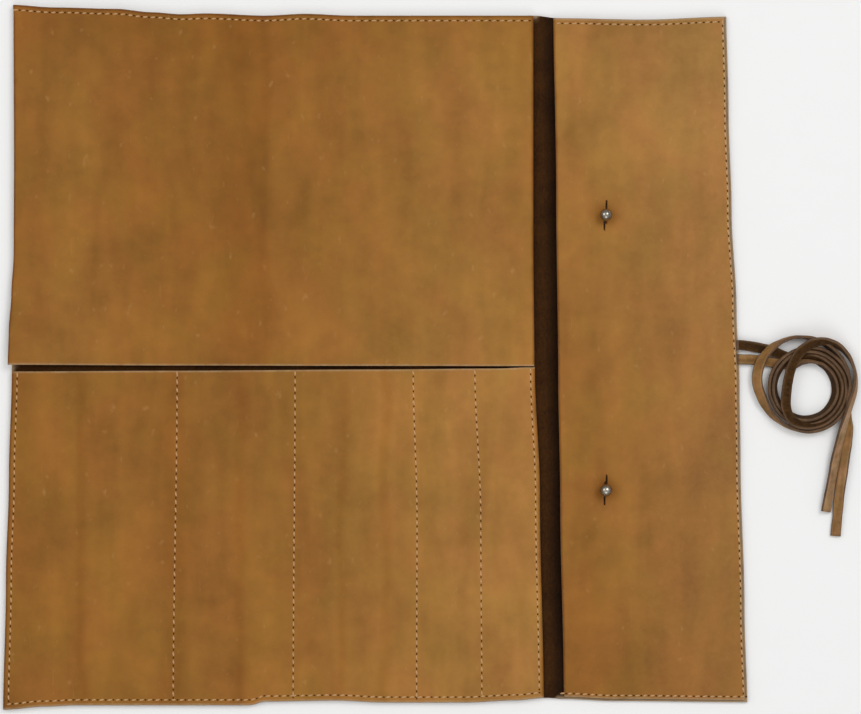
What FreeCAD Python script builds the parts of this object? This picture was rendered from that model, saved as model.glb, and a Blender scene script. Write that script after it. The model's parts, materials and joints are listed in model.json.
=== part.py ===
import FreeCAD, Part
import math
import os
import Sketcher

# Leather fold-up pencil case, lying open. Millimetres, +Z up, +Y towards the flap's seam.
# The origin is on the table, under the middle of the case. One back sheet carries a top flap,
# five long pockets under it, a side pocket held down by two ball studs, and two flat laces.
# The case folds up from the left at two lines, so each leather sheet is cut at those lines.
# Both fold lines lie above the sections that turn about them: the left one 8.4 mm up, where two
# layers of pockets lie on each other, and the main one 15.9 mm up, where both clear the studs.

doc = FreeCAD.newDocument("PencilCase")
sheet = doc.addObject("Spreadsheet::Sheet", "Sizes")

sizes = {
    "case_width": 364,
    "case_height": 348,
    "back_thick": 2.0,
    "front_thick": 1.8,
    "seam_inset": 3,
    "pocket_width_1": 79,
    "pocket_width_2": 59.5,
    "pocket_width_3": 60.8,
    "pocket_width_4": 31.7,
    "pocket_width_5": 27.5,
    "pocket_depth": 168,
    "pocket_room": 4.3,
    "pocket_shoulder": 7,
    "side_width": 90.5,
    "fold_past_divider": 3,
    "fold_gap": 0.3,
    "flap_hem": 6,
    "mouth_gap": 2,
    "flap_gap": 0.2,
    "flap_root_gap": 0.3,
    "thread_width": 0.8,
    "thread_rise": 0.4,
    "stud_inset": 23.5,
    "stud_spacing": 137,
    "stud_middle": 2.5,
    "ball_width": 6.2,
    "neck_width": 3.4,
    "flange_width": 8,
    "flange_thick": 1.0,
    "screw_head_width": 7.5,
    "screw_head_thick": 0.8,
    "screw_shank_width": 2.0,
    "screw_reach": 4.5,
    "screw_clearance": 0.1,
    "screw_slot": 0.9,
    "screw_slot_depth": 0.4,
    "neck_clearance": 0.4,
    "ball_clearance": 0.1,
    "slit_length": 14,
    "slit_width": 0.8,
    "lace_width": 5,
    "lace_thick": 1.6,
    "lace_sewn": 14,
    "lace_sink": 1.0,
    "lace_side_gap": 0.2,
    "lace_middle": 2.75,
    "lace_spacing": 7,
    "coil_outer": 25.5,
    "coil_inner": 10,
    "coil_rise": 8,
    "coil_from_edge": 33.5,
    "coil_middle": -13.3,
}
for row, (name, value) in enumerate(sizes.items(), start=1):
    sheet.set(f"A{row}", name)
    sheet.set(f"B{row}", str(value))
    sheet.setAlias(f"B{row}", name)
doc.recompute()

# Places worked out from the sheet, as expressions that every piece shares
left_edge = "(-Sizes.case_width / 2)"
right_edge = "(Sizes.case_width / 2)"
top_edge = "(Sizes.case_height / 2)"
bottom_edge = "(-Sizes.case_height / 2)"
back_top = "Sizes.back_thick"
seam_top = "(Sizes.back_thick + Sizes.front_thick)"
room_top = "(Sizes.back_thick + Sizes.pocket_room)"
panel_top = "(Sizes.back_thick + Sizes.pocket_room + Sizes.front_thick)"

seams = [f"({left_edge} + Sizes.seam_inset)"]
for number in range(1, 6):
    seams.append(f"({seams[-1]} + Sizes.pocket_width_{number})")
pocket_edges = [left_edge] + [f"({seam} + Sizes.fold_past_divider)" for seam in seams[1:5]]
pocket_edges.append(f"({seams[5]} + Sizes.seam_inset)")
left_fold = pocket_edges[1]
main_fold = pocket_edges[3]
before_left_fold = f"({left_fold} - Sizes.fold_gap / 2)"
after_left_fold = f"({left_fold} + Sizes.fold_gap / 2)"
before_main_fold = f"({main_fold} - Sizes.fold_gap / 2)"
after_main_fold = f"({main_fold} + Sizes.fold_gap / 2)"
mouth = f"({bottom_edge} + Sizes.pocket_depth)"
side_edge = f"({right_edge} - Sizes.side_width)"
flap_line = f"({top_edge} - Sizes.flap_hem)"
stud_x = f"({side_edge} + Sizes.stud_inset)"
stud_places = {
    "upper": f"(Sizes.stud_middle + Sizes.stud_spacing / 2)",
    "lower": f"(Sizes.stud_middle - Sizes.stud_spacing / 2)",
}
lace_places = {
    "upper": "(Sizes.lace_middle + Sizes.lace_spacing / 2)",
    "lower": "(Sizes.lace_middle - Sizes.lace_spacing / 2)",
}
lace_base = "(Sizes.back_thick - Sizes.lace_sink)"
lace_half = "Sizes.lace_width / 2"


pieces = []


def size(name):
    """The value of a driving dimension."""
    return float(sheet.get(name))


def bind(feature, **expressions):
    """Ties a feature's properties to expressions over the sheet."""
    for name, expression in expressions.items():
        feature.setExpression(name, expression)


def place(feature, x="0", y="0", z="0"):
    """Ties where a feature stands to expressions over the sheet."""
    for axis, expression in zip("xyz", (x, y, z)):
        feature.setExpression(f"Placement.Base.{axis}", expression)


def finish(feature, name):
    """Names a sub-part and lists it for checking and writing."""
    feature.Label = name
    pieces.append(feature)
    return feature


def origin_plane(body, role):
    for feature in body.Origin.OriginFeatures:
        if feature.Role == role:
            return feature


def new_body(name):
    return finish(doc.addObject("PartDesign::Body", name.title().replace("_", "")), name)


def new_sketch(body, role):
    sketch = body.newObject("Sketcher::SketchObject", body.Name + "Sketch")
    sketch.AttachmentSupport = [(origin_plane(body, role), "")]
    sketch.MapMode = "FlatFace"
    return sketch


def draw_rectangle(sketch, x_low, x_high, y_low, y_high):
    """Adds a rectangle whose four sides are held at expressions."""
    first = sketch.GeometryCount
    corners = [(-2, -1), (2, -1), (2, 1), (-2, 1)]
    for number in range(4):
        start, end = corners[number], corners[(number + 1) % 4]
        line = Part.LineSegment(FreeCAD.Vector(*start, 0), FreeCAD.Vector(*end, 0))
        sketch.addGeometry(line, False)
    for number in range(4):
        following = first + (number + 1) % 4
        sketch.addConstraint(Sketcher.Constraint("Coincident", first + number, 2, following, 1))
    for number, kind in enumerate(("Horizontal", "Vertical", "Horizontal", "Vertical")):
        sketch.addConstraint(Sketcher.Constraint(kind, first + number))
    held = (
        ("DistanceX", 0, -2, x_low),
        ("DistanceX", 2, 2, x_high),
        ("DistanceY", 0, -1, y_low),
        ("DistanceY", 2, 1, y_high),
    )
    for kind, corner, value, expression in held:
        index = sketch.addConstraint(Sketcher.Constraint(kind, -1, 1, first + corner, 1, value))
        sketch.setExpression(f"Constraints[{index}]", expression)


def draw_circle(sketch, x, y, radius):
    """Adds a circle whose centre and radius are held at expressions."""
    shape = Part.Circle(FreeCAD.Vector(1, 1, 0), FreeCAD.Vector(0, 0, 1), 1)
    circle = sketch.addGeometry(shape, False)
    for kind, value, expression in (("DistanceX", 1, x), ("DistanceY", 1, y)):
        index = sketch.addConstraint(Sketcher.Constraint(kind, -1, 1, circle, 3, value))
        sketch.setExpression(f"Constraints[{index}]", expression)
    index = sketch.addConstraint(Sketcher.Constraint("Radius", circle, 1))
    sketch.setExpression(f"Constraints[{index}]", radius)


def leather_panel(name, x_low, x_high, y_low, y_high, base, thick):
    """A flat piece of leather: a padded rectangle lying at a height."""
    body = new_body(name)
    sketch = new_sketch(body, "XY_Plane")
    draw_rectangle(sketch, x_low, x_high, y_low, y_high)
    pad = body.newObject("PartDesign::Pad", body.Name + "Pad")
    pad.Profile = sketch
    bind(pad, Length=thick)
    place(body, z=base)
    doc.recompute()
    return body


def cut_pocket(body, draw, base, depth):
    """Cuts what draw puts in a sketch out of a panel, upwards from a height over its underside."""
    sketch = new_sketch(body, "XY_Plane")
    sketch.setExpression("AttachmentOffset.Base.z", base)
    draw(sketch)
    pocket = body.newObject("PartDesign::Pocket", sketch.Name + "Pocket")
    pocket.Profile = sketch
    pocket.Reversed = True
    bind(pocket, Length=depth)
    doc.recompute()
    return pocket


def box(name, x_low, x_high, y_low, y_high, z_low, z_high):
    solid = doc.addObject("Part::Box", name)
    bind(
        solid,
        Length=f"{x_high} - {x_low}",
        Width=f"{y_high} - {y_low}",
        Height=f"{z_high} - {z_low}",
    )
    place(solid, x_low, y_low, z_low)
    return solid


def fuse(name, solids):
    joined = doc.addObject("Part::MultiFuse", name)
    joined.Shapes = solids
    joined.Refine = True
    return joined


def rod(name, x, y, radius, z_low, z_high):
    solid = doc.addObject("Part::Cylinder", name)
    bind(solid, Radius=radius, Height=f"{z_high} - {z_low}")
    place(solid, x, y, z_low)
    return solid


def cut(name, base, tool):
    result = doc.addObject("Part::Cut", name)
    result.Base = base
    result.Tool = tool
    return result


def roof(name, x_low, x_high, y_low, y_high, z_low, z_high, slopes):
    """A flat-topped roof. slopes names the sides that slope in by the pocket's shoulder."""
    solid = doc.addObject("Part::Wedge", name)
    solid.Placement.Rotation = FreeCAD.Rotation(FreeCAD.Vector(1, 0, 0), 90)
    inset = {
        side: "Sizes.pocket_shoulder" if side in slopes else "0"
        for side in ("left", "right", "bottom", "top")
    }
    bind(
        solid,
        Xmin="0",
        Xmax=f"{x_high} - {x_low}",
        Ymin="0",
        Ymax=f"{z_high} - {z_low}",
        Zmin="0",
        Zmax=f"{y_high} - {y_low}",
        X2min=inset["left"],
        X2max=f"{x_high} - {x_low} - {inset['right']}",
        Z2min=inset["top"],
        Z2max=f"{y_high} - {y_low} - {inset['bottom']}",
    )
    place(solid, x_low, y_high, z_low)
    return solid


def pocket_shell(name, outline, roofed, slopes, past):
    """A sewn-down leather front that stands up from its flat margin to make room under it.

    past says how far the room runs on beyond each side, in millimetres, where it is open.
    """
    margin = box(name + "_margin", *outline, back_top, seam_top)
    outer = roof(name + "_outer", *roofed, seam_top, panel_top, slopes)
    reach = [f"({side} + {more})" if more else side for side, more in zip(roofed, past)]
    inner = roof(name + "_inner", *reach, back_top, room_top, slopes)
    return cut(name + "_shell", fuse(name + "_raised", [margin, outer]), inner)


def section_edges(right_end):
    """The low and high x of what each section holds of a sheet that ends at right_end."""
    return {
        "left": (left_edge, before_left_fold),
        "middle": (after_left_fold, before_main_fold),
        "right": (after_main_fold, right_end),
    }


def make_back():
    """The back sheet, flesh side up, with the laces' seats and the stud screws' holes."""
    edges = section_edges(right_edge)
    bodies = {}
    for part, (x_low, x_high) in edges.items():
        bodies[part] = leather_panel(
            "back_" + part, x_low, x_high, bottom_edge, top_edge, "0", back_top
        )

    def draw_screw_heads(sketch):
        for y in stud_places.values():
            draw_circle(sketch, stud_x, y, "Sizes.screw_head_width / 2 + Sizes.screw_clearance")

    def draw_screw_shanks(sketch):
        for y in stud_places.values():
            draw_circle(sketch, stud_x, y, "Sizes.screw_shank_width / 2 + Sizes.screw_clearance")

    def draw_lace_seats(sketch):
        for y in lace_places.values():
            draw_rectangle(sketch, *lace_seat(y))

    cut_pocket(bodies["right"], draw_screw_heads, "0", "Sizes.screw_head_thick")
    cut_pocket(bodies["right"], draw_screw_shanks, "0", "Sizes.back_thick + 1")
    cut_pocket(bodies["right"], draw_lace_seats, lace_base, "Sizes.lace_sink + 1")


def lace_seat(y):
    """The low and high x and y of the seat for a lace's sewn end, open at the case's edge."""
    return (
        f"({right_edge} - Sizes.lace_sewn)",
        f"({right_edge} + 1)",
        f"({y} - {lace_half} - Sizes.lace_side_gap)",
        f"({y} + {lace_half} + Sizes.lace_side_gap)",
    )


def make_flap():
    """The flap: a hem sewn on the back's top edge, and a leaf that lifts, both in three parts."""
    for part, (x_low, x_high) in section_edges(seams[5]).items():
        leather_panel(
            "flap_hem_" + part, x_low, x_high, flap_line, top_edge, back_top, "Sizes.front_thick"
        )
        leather_panel(
            "flap_" + part,
            x_low,
            x_high,
            f"({mouth} + Sizes.mouth_gap)",
            f"({flap_line} - Sizes.flap_root_gap)",
            f"({back_top} + Sizes.flap_gap)",
            "Sizes.front_thick",
        )


def make_pocket_fronts():
    """Five long pockets side by side, sewn at the left, bottom, right and between them."""
    x_lows = [left_edge, after_left_fold, pocket_edges[2], after_main_fold, pocket_edges[4]]
    x_highs = [before_left_fold, pocket_edges[2], before_main_fold, pocket_edges[4], pocket_edges[5]]
    for number in range(5):
        room_low = f"({left_edge} + 2 * Sizes.seam_inset)" if number == 0 else x_lows[number]
        roofed = [
            room_low,
            f"({seams[number + 1]} - Sizes.seam_inset)",
            f"({bottom_edge} + 2 * Sizes.seam_inset)",
            mouth,
        ]
        outline = (x_lows[number], x_highs[number], bottom_edge, mouth)
        shell = pocket_shell(
            f"front_{number + 1}", outline, roofed, ("left", "right", "bottom"), (0, 0, 0, 1)
        )
        finish(shell, f"pocket_front_{number + 1}")


def make_side_pocket():
    """The side pocket's front, open along its left edge, slit where the ball studs come through."""
    outline = (side_edge, right_edge, bottom_edge, top_edge)
    roofed = [
        side_edge,
        f"({right_edge} - 2 * Sizes.seam_inset)",
        f"({bottom_edge} + 2 * Sizes.seam_inset)",
        f"({top_edge} - 2 * Sizes.seam_inset)",
    ]
    shell = pocket_shell("side", outline, roofed, ("right", "bottom", "top"), (-1, 0, 0, 0))
    tools = []
    for part, y in stud_places.items():
        tools.append(
            box(
                "slit_" + part,
                f"({stud_x} - Sizes.slit_width / 2)",
                f"({stud_x} + Sizes.slit_width / 2)",
                f"({y} - Sizes.slit_length / 2)",
                f"({y} + Sizes.slit_length / 2)",
                back_top,
                f"({panel_top} + 1)",
            )
        )
        hole_radius = "Sizes.neck_width / 2 + Sizes.neck_clearance"
        above = f"({panel_top} + 1)"
        tools.append(rod("slit_hole_" + part, stud_x, y, hole_radius, back_top, above))
    for part, y in lace_places.items():
        lace_top = f"({lace_base} + Sizes.lace_thick)"
        tools.append(box("lace_seat_" + part, *lace_seat(y), lace_base, lace_top))
    finish(cut("side_open", shell, fuse("side_tools", tools)), "side_pocket_front")


def make_studs():
    """Two ball studs, each held by a screw from behind whose head is sunk in the back."""
    for part, y in stud_places.items():
        head_top = f"({back_top} + Sizes.flange_thick)"
        ball_base = f"({panel_top} + Sizes.ball_clearance)"
        ball_middle = f"({ball_base} + Sizes.ball_width / 2)"
        flange = rod("flange_" + part, stud_x, y, "Sizes.flange_width / 2", back_top, head_top)
        neck = rod("neck_" + part, stud_x, y, "Sizes.neck_width / 2", head_top, ball_middle)
        ball = doc.addObject("Part::Sphere", "ball_" + part)
        bind(ball, Radius="Sizes.ball_width / 2")
        place(ball, stud_x, y, ball_middle)
        bore_top = f"({back_top} + Sizes.screw_reach)"
        bore_radius = "Sizes.screw_shank_width / 2 + Sizes.screw_clearance"
        bore = rod("bore_" + part, stud_x, y, bore_radius, back_top, bore_top)
        head = fuse("stud_solid_" + part, [flange, neck, ball])
        finish(cut("stud_bored_" + part, head, bore), "stud_" + part)

        head_radius, shank_radius = "Sizes.screw_head_width / 2", "Sizes.screw_shank_width / 2"
        shank_top = f"({bore_top} - Sizes.screw_clearance)"
        screw_head = rod("screw_head_" + part, stud_x, y, head_radius, "0", "Sizes.screw_head_thick")
        shank = rod("screw_shank_" + part, stud_x, y, shank_radius, "0", shank_top)
        slot = box(
            "screw_slot_" + part,
            f"({stud_x} - Sizes.screw_head_width)",
            f"({stud_x} + Sizes.screw_head_width)",
            f"({y} - Sizes.screw_slot / 2)",
            f"({y} + Sizes.screw_slot / 2)",
            "0",
            "Sizes.screw_slot_depth",
        )
        screw = fuse("screw_solid_" + part, [screw_head, shank])
        finish(cut("screw_slotted_" + part, screw, slot), "stud_screw_" + part)


def thread_row(name, x_low, x_high, y_low, y_high):
    return box(name, x_low, x_high, y_low, y_high, seam_top, f"({seam_top} + Sizes.thread_rise)")


def thread_across(name, x_low, x_high, y):
    half = "Sizes.thread_width / 2"
    return thread_row(name, x_low, x_high, f"({y} - {half})", f"({y} + {half})")


def thread_along(name, x, y_low, y_high):
    half = "Sizes.thread_width / 2"
    return thread_row(name, f"({x} - {half})", f"({x} + {half})", y_low, y_high)


def make_threads():
    """Rows of stitches: the flap's, the pockets' edge and dividers, and the side pocket's."""
    half = "Sizes.thread_width / 2"
    top_seam = f"({top_edge} - Sizes.seam_inset)"
    bottom_seam = f"({bottom_edge} + Sizes.seam_inset)"
    row_base = f"({bottom_seam} - {half})"
    for part, (x_low, x_high) in section_edges(seams[5]).items():
        finish(thread_across("thread_top_" + part, x_low, x_high, top_seam), "thread_flap_" + part)

    x_low, x_high = section_edges(seams[5])["left"]
    left_rows = [
        thread_along("thread_left_side", seams[0], row_base, mouth),
        thread_across("thread_left_base", seams[0], x_high, bottom_seam),
    ]
    finish(fuse("thread_left_rows", left_rows), "thread_pockets_left")
    x_low, x_high = section_edges(seams[5])["middle"]
    finish(thread_across("thread_middle_base", x_low, x_high, bottom_seam), "thread_pockets_middle")
    right_rows = [
        thread_across("thread_right_base", after_main_fold, seams[5], bottom_seam),
        thread_along("thread_right_side", seams[5], row_base, mouth),
    ]
    finish(fuse("thread_right_rows", right_rows), "thread_pockets_right")

    divider_base = f"({bottom_seam} + {half})"
    for number in range(1, 5):
        row = thread_along(f"thread_row_{number}", seams[number], divider_base, mouth)
        finish(row, f"thread_divider_{number}")

    side_seam = f"({right_edge} - Sizes.seam_inset)"
    side_rows = [
        thread_across("thread_side_top", side_edge, side_seam, top_seam),
        thread_across("thread_side_base", side_edge, side_seam, bottom_seam),
        thread_along("thread_side_edge", side_seam, row_base, f"({top_seam} + {half})"),
    ]
    finish(fuse("thread_side_rows", side_rows), "thread_side_pocket")


def lace_path(points):
    """Straight runs joined by arcs as large as the runs allow, as one wire."""
    edges = []
    start = points[0]
    for before, corner, after in zip(points, points[1:], points[2:]):
        way_in, way_out = (corner - before), (after - corner)
        half_turn = way_in.getAngle(way_out) / 2
        reach = arc_share * min(way_in.Length, way_out.Length)
        radius = reach / math.tan(half_turn)
        print(f"lace arc: radius {radius:.1f} mm, turn {math.degrees(2 * half_turn):.1f} degrees")
        arc_start = corner - way_in.normalize() * reach
        arc_end = corner + way_out.normalize() * reach
        inward = (way_out - way_in).normalize()
        middle = corner + inward * (radius / math.cos(half_turn) - radius)
        edges.append(Part.LineSegment(start, arc_start).toShape())
        edges.append(Part.Arc(arc_start, middle, arc_end).toShape())
        start = arc_end
    edges.append(Part.LineSegment(start, points[-1]).toShape())
    return Part.Wire(edges)


def lace_strip(name, points):
    """A flat strip swept along a route; its length and volume are printed against each other."""
    path = lace_path(points)
    start, ahead = points[0], (points[1] - points[0]).normalize()
    across = FreeCAD.Vector(0, 0, 1).cross(ahead).normalize()
    up = ahead.cross(across)
    wide, thick = size("lace_width") / 2, size("lace_thick") / 2
    corners = [(-wide, -thick), (wide, -thick), (wide, thick), (-wide, thick), (-wide, -thick)]
    section = Part.makePolygon([start + across * a + up * b for a, b in corners])
    strip = doc.addObject("Part::Feature", name.title().replace("_", ""))
    strip.Shape = path.makePipeShell([section], True, False)
    strip.Placement = FreeCAD.Placement()
    share = strip.Shape.Volume / (path.Length * size("lace_width") * size("lace_thick"))
    print(f"{name}: {path.Length:.1f} mm long, volume {share:.4f} of section times length")
    return finish(strip, name)


# Each lace's free stretches, from the middle of the case's right edge: x, y, middle of its thickness.
# A lace leaves the case between the leathers, goes into the loose coil, and its tail comes out below.
arc_share = 0.45
lead_routes = {
    "upper": [(0, 6.25, 1.8), (18, 3.2, 1.3)],
    "lower": [(0, -0.75, 1.8), (13, -1.6, 1.4)],
}
tail_routes = {
    "upper": [(52.5, -26, 0.8), (55.8, -38, 0.8), (52.7, -51, 0.8), (50.6, -67, 0.8), (48.8, -89.4, 0.8)],
    "lower": [(52, -24, 2.5), (53.2, -36, 2.5), (48.5, -50, 2.5), (46, -64, 2.5), (43, -77.2, 2.5)],
}


def make_laces():
    for part, y in lace_places.items():
        sewn = box(
            "lace_sewn_" + part,
            f"({right_edge} - Sizes.lace_sewn)",
            right_edge,
            f"({y} - {lace_half})",
            f"({y} + {lace_half})",
            lace_base,
            f"({lace_base} + Sizes.lace_thick)",
        )
        finish(sewn, "lace_end_" + part)
    edge = size("case_width") / 2
    for kind, routes in (("lead", lead_routes), ("tail", tail_routes)):
        for part, route in routes.items():
            points = [FreeCAD.Vector(x + edge, y, z) for x, y, z in route]
            lace_strip(f"lace_{kind}_{part}", points)

    coil_x = f"({right_edge} + Sizes.coil_from_edge)"
    outer = rod("coil_outside", coil_x, "Sizes.coil_middle", "Sizes.coil_outer", "0", "Sizes.coil_rise")
    hole = rod("coil_hole", coil_x, "Sizes.coil_middle", "Sizes.coil_inner", "0", "Sizes.coil_rise")
    finish(cut("coil_ring", outer, hole), "lace_coil")


make_back()
make_flap()
make_pocket_fronts()
make_side_pocket()
make_studs()
make_threads()
make_laces()
doc.recompute()

faults = [f.Name for f in doc.Objects if "Invalid" in f.State or "Error" in f.State]
faults += [p.Label for p in pieces if p.Shape.isNull() or not p.Shape.isValid()]
if faults:
    raise RuntimeError("these features failed: " + ", ".join(faults))
os.makedirs("parts", exist_ok=True)
for piece in pieces:
    piece.Shape.exportStep(f"parts/{piece.Label}.step")
print(f"{len(pieces)} sub-parts written")
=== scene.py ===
import json
import math

import bmesh
import bpy
from mathutils import Matrix, Vector, noise


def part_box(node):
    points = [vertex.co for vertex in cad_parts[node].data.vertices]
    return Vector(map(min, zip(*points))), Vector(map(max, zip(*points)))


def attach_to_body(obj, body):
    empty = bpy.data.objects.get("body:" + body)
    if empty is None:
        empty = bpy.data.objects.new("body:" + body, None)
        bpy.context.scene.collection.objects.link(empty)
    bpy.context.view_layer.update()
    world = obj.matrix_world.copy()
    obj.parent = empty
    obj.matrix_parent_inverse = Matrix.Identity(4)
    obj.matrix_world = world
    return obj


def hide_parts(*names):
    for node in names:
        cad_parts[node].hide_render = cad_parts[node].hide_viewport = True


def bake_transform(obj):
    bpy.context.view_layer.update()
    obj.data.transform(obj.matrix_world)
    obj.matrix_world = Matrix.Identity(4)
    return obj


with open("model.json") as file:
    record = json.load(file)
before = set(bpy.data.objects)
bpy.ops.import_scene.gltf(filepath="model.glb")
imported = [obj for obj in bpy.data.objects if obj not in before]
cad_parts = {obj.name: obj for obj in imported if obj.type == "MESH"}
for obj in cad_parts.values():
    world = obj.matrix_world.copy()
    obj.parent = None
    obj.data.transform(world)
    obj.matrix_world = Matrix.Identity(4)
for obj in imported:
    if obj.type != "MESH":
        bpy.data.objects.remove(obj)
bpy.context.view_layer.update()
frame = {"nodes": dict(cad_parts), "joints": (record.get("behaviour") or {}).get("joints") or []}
mm = 0.001
scene = bpy.context.scene
print("frame loaded:", len(frame["nodes"]), "nodes")


# Small helpers

def smooth(low, high, value):
    # eases from 0 at low to 1 at high, where low may also be the larger
    share = min(max((value - low) / (high - low), 0), 1)
    return share * share * (3 - 2 * share)


def along(points, at):
    # eases from each given value to the next
    if at <= points[0][0]:
        return points[0][1]
    for (start, first), (end, second) in zip(points, points[1:]):
        if at <= end:
            return first + (second - first) * smooth(start, end, at)
    return points[-1][1]


def ripple(x, y, size, seed):
    # gentle waves about size long; seed picks the pattern
    return noise.noise(Vector((x / size, y / size, seed)))


def allOf(shape):
    return shape.verts[:] + shape.edges[:] + shape.faces[:]


def middleOf(node):
    low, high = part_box(node)
    return (low + high) / 2


def addPiece(name, data):
    piece = bpy.data.objects.new(name, data)
    scene.collection.objects.link(piece)
    return piece


def makePiece(name, shape, materials):
    mesh = bpy.data.meshes.new(name)
    shape.to_mesh(mesh)
    shape.free()
    for material in materials:
        mesh.materials.append(material)
    return addPiece(name, mesh)


# Camera, straight above the open case

camera = {
    "aim": (0.0277, 0.0003, 0.004),
    "height": 1.4,
    "across": 0.4305,
}


def makeCamera():
    data = bpy.data.cameras.new("camera")
    data.sensor_width = 36
    data.lens = data.sensor_width * camera["height"] / camera["across"]
    data.clip_end = 20
    lens = addPiece("camera", data)
    lens.location = Vector(camera["aim"]) + Vector((0, 0, camera["height"]))
    scene.camera = lens


makeCamera()
print("camera set")


# Materials, made of nodes

class Nodes:
    # one material's nodes, with short calls to add and join them
    def __init__(self, name):
        self.material = bpy.data.materials.new(name)
        self.material.use_nodes = True
        self.tree = self.material.node_tree
        self.tree.nodes.clear()
        output = self.tree.nodes.new("ShaderNodeOutputMaterial")
        self.shader = self.tree.nodes.new("ShaderNodeBsdfPrincipled")
        self.tree.links.new(self.shader.outputs[0], output.inputs["Surface"])

    def put(self, socket, value):
        if isinstance(value, bpy.types.NodeSocket):
            self.tree.links.new(value, socket)
        else:
            socket.default_value = value

    def add(self, kind, settings=None, output=0, **inputs):
        made = self.tree.nodes.new("ShaderNode" + kind)
        for key, value in (settings or {}).items():
            setattr(made, key, value)
        for key, value in inputs.items():
            self.put(made.inputs[key], value)
        return made.outputs[output]

    def math(self, operation, first, second=0.0):
        made = self.tree.nodes.new("ShaderNodeMath")
        made.operation = operation
        self.put(made.inputs[0], first)
        self.put(made.inputs[1], second)
        return made.outputs[0]

    def mix(self, share, first, second, blend="MIX"):
        made = self.tree.nodes.new("ShaderNodeMix")
        made.data_type = "RGBA"
        made.blend_type = blend
        self.put(made.inputs[0], share)
        self.put(made.inputs[6], first)
        self.put(made.inputs[7], second)
        return made.outputs[2]

    def stretch(self, vector, scale):
        return self.add("Mapping", Vector=vector, Scale=scale)

    def noise(self, vector, scale, detail=3.0, rough=0.55, twist=0.0):
        return self.add("TexNoise", Vector=vector, Scale=scale, Detail=detail, Roughness=rough,
                        Distortion=twist)

    def span(self, value, low, high, start=0.0, end=1.0):
        made = self.tree.nodes.new("ShaderNodeMapRange")
        for socket, number in zip(made.inputs, (value, low, high, start, end)):
            self.put(socket, number)
        return made.outputs[0]

    def place(self):
        return self.add("UVMap", {"uv_map": "flat"})

    def attribute(self, name):
        return self.add("Attribute", {"attribute_name": name}, output=2)

    def bump(self, height, strength, distance):
        made = self.tree.nodes.new("ShaderNodeBump")
        made.inputs["Strength"].default_value = strength
        made.inputs["Distance"].default_value = distance
        self.tree.links.new(height, made.inputs["Height"])
        self.tree.links.new(made.outputs[0], self.shader.inputs["Normal"])

    def finish(self, **sockets):
        for key, value in sockets.items():
            self.put(self.shader.inputs[key.replace("_", " ")], value)
        return self.material


# Patterns follow each piece's own flat positions, one unit of them to 100 mm

flatUnit = 100 * mm

# weights are for clouds, bands, patches and fine; deepen is how fast green and blue darken with the tone
grain = {
    "dark": (0.236, 0.101, 0.0165, 1),
    "light": (0.366, 0.164, 0.0325, 1),
    "worn": (0.44, 0.32, 0.19, 1),
    "fleck": (0.52, 0.30, 0.11, 1),
    "red": (1.03, 0.975, 1.02, 1),
    "olive": (0.975, 1.02, 0.95, 1),
    "cloud": 2.1,
    "bands": (7.0, 1.5, 1),
    "fine": 34.0,
    "pores": 150.0,
    "weights": (1.5, 1.2, 0.7, 0.5),
    "deepen": (1.5, 3.0),
    "fleckShare": 0.34,
    "scuffShare": 0.14,
    "rough": (0.58, 0.78),
    "bump": 0.25 * mm,
}


def makeGrain(name, look, bumpStrength=0.35):
    # oiled leather, grain side up: clouds, soft bands up and down, flecks, pores and worn edges
    nodes = Nodes(name)
    flat = nodes.place()
    clouds = nodes.noise(flat, look["cloud"], 3.5, 0.5, 0.4)
    bands = nodes.noise(nodes.stretch(flat, look["bands"]), 1.0, 2.5, 0.5, 0.3)
    patches = nodes.noise(flat, look["cloud"] * 5, 2.0, 0.5)
    fine = nodes.noise(flat, look["fine"], 6.0, 0.7)
    pores = nodes.noise(flat, look["pores"], 3.0, 0.6)
    share = 0.5
    for layer, weight in zip((clouds, bands, patches, fine), look["weights"]):
        away = nodes.math("SUBTRACT", layer, 0.5)
        share = nodes.math("ADD", share, nodes.math("MULTIPLY", away, weight))
    share = nodes.math("MAXIMUM", nodes.math("MINIMUM", share, 1.0), 0.0)
    colour = nodes.mix(share, look["dark"], look["light"])
    hue = nodes.noise(nodes.stretch(flat, (1.0, 0.7, 1.0)), look["cloud"] * 1.7, 3.0, 0.55, 0.5)
    tint = nodes.mix(nodes.span(hue, 0.38, 0.62), look["olive"], look["red"])
    colour = nodes.mix(1.0, colour, tint, "MULTIPLY")
    # the tone holds oil darkening and painted shade alike
    tone = nodes.attribute("tone")
    green, blue = (nodes.math("POWER", tone, power) for power in look["deepen"])
    colour = nodes.mix(1.0, colour, nodes.add("CombineXYZ", X=tone, Y=green, Z=blue), "MULTIPLY")
    flecks = nodes.noise(nodes.stretch(flat, (1.0, 0.6, 1.0)), 24.0, 2.0, 0.5)
    colour = nodes.mix(nodes.span(flecks, 0.66, 0.86, 0.0, look["fleckShare"]), colour, look["fleck"])
    scuffs = nodes.noise(nodes.stretch(flat, (5.0, 1.0, 1.0)), 9.0, 2.0, 0.5, 1.2)
    colour = nodes.mix(nodes.span(scuffs, 0.70, 0.80, 0.0, look["scuffShare"]), colour, look["fleck"])
    wear = nodes.math("MULTIPLY", nodes.attribute("wear"), nodes.span(fine, 0.3, 0.7, 0.35, 0.9))
    colour = nodes.mix(wear, colour, look["worn"])
    height = nodes.math("ADD", nodes.math("MULTIPLY", pores, 0.5), fine)
    nodes.bump(height, bumpStrength, look["bump"])
    rough = nodes.span(nodes.math("ADD", nodes.math("MULTIPLY", clouds, 0.5), fine), 0.5, 1.0,
                       *look["rough"])
    return nodes.finish(Base_Color=colour, Roughness=rough, Specular_IOR_Level=0.16)


flesh = {
    "dark": (0.017, 0.0052, 0.0008, 1),
    "light": (0.060, 0.0215, 0.0032, 1),
    "rim": (0.44, 0.30, 0.17, 1),
    "fibre": 90.0,
    "cloud": 6.0,
    "bump": 0.5 * mm,
}


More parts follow.
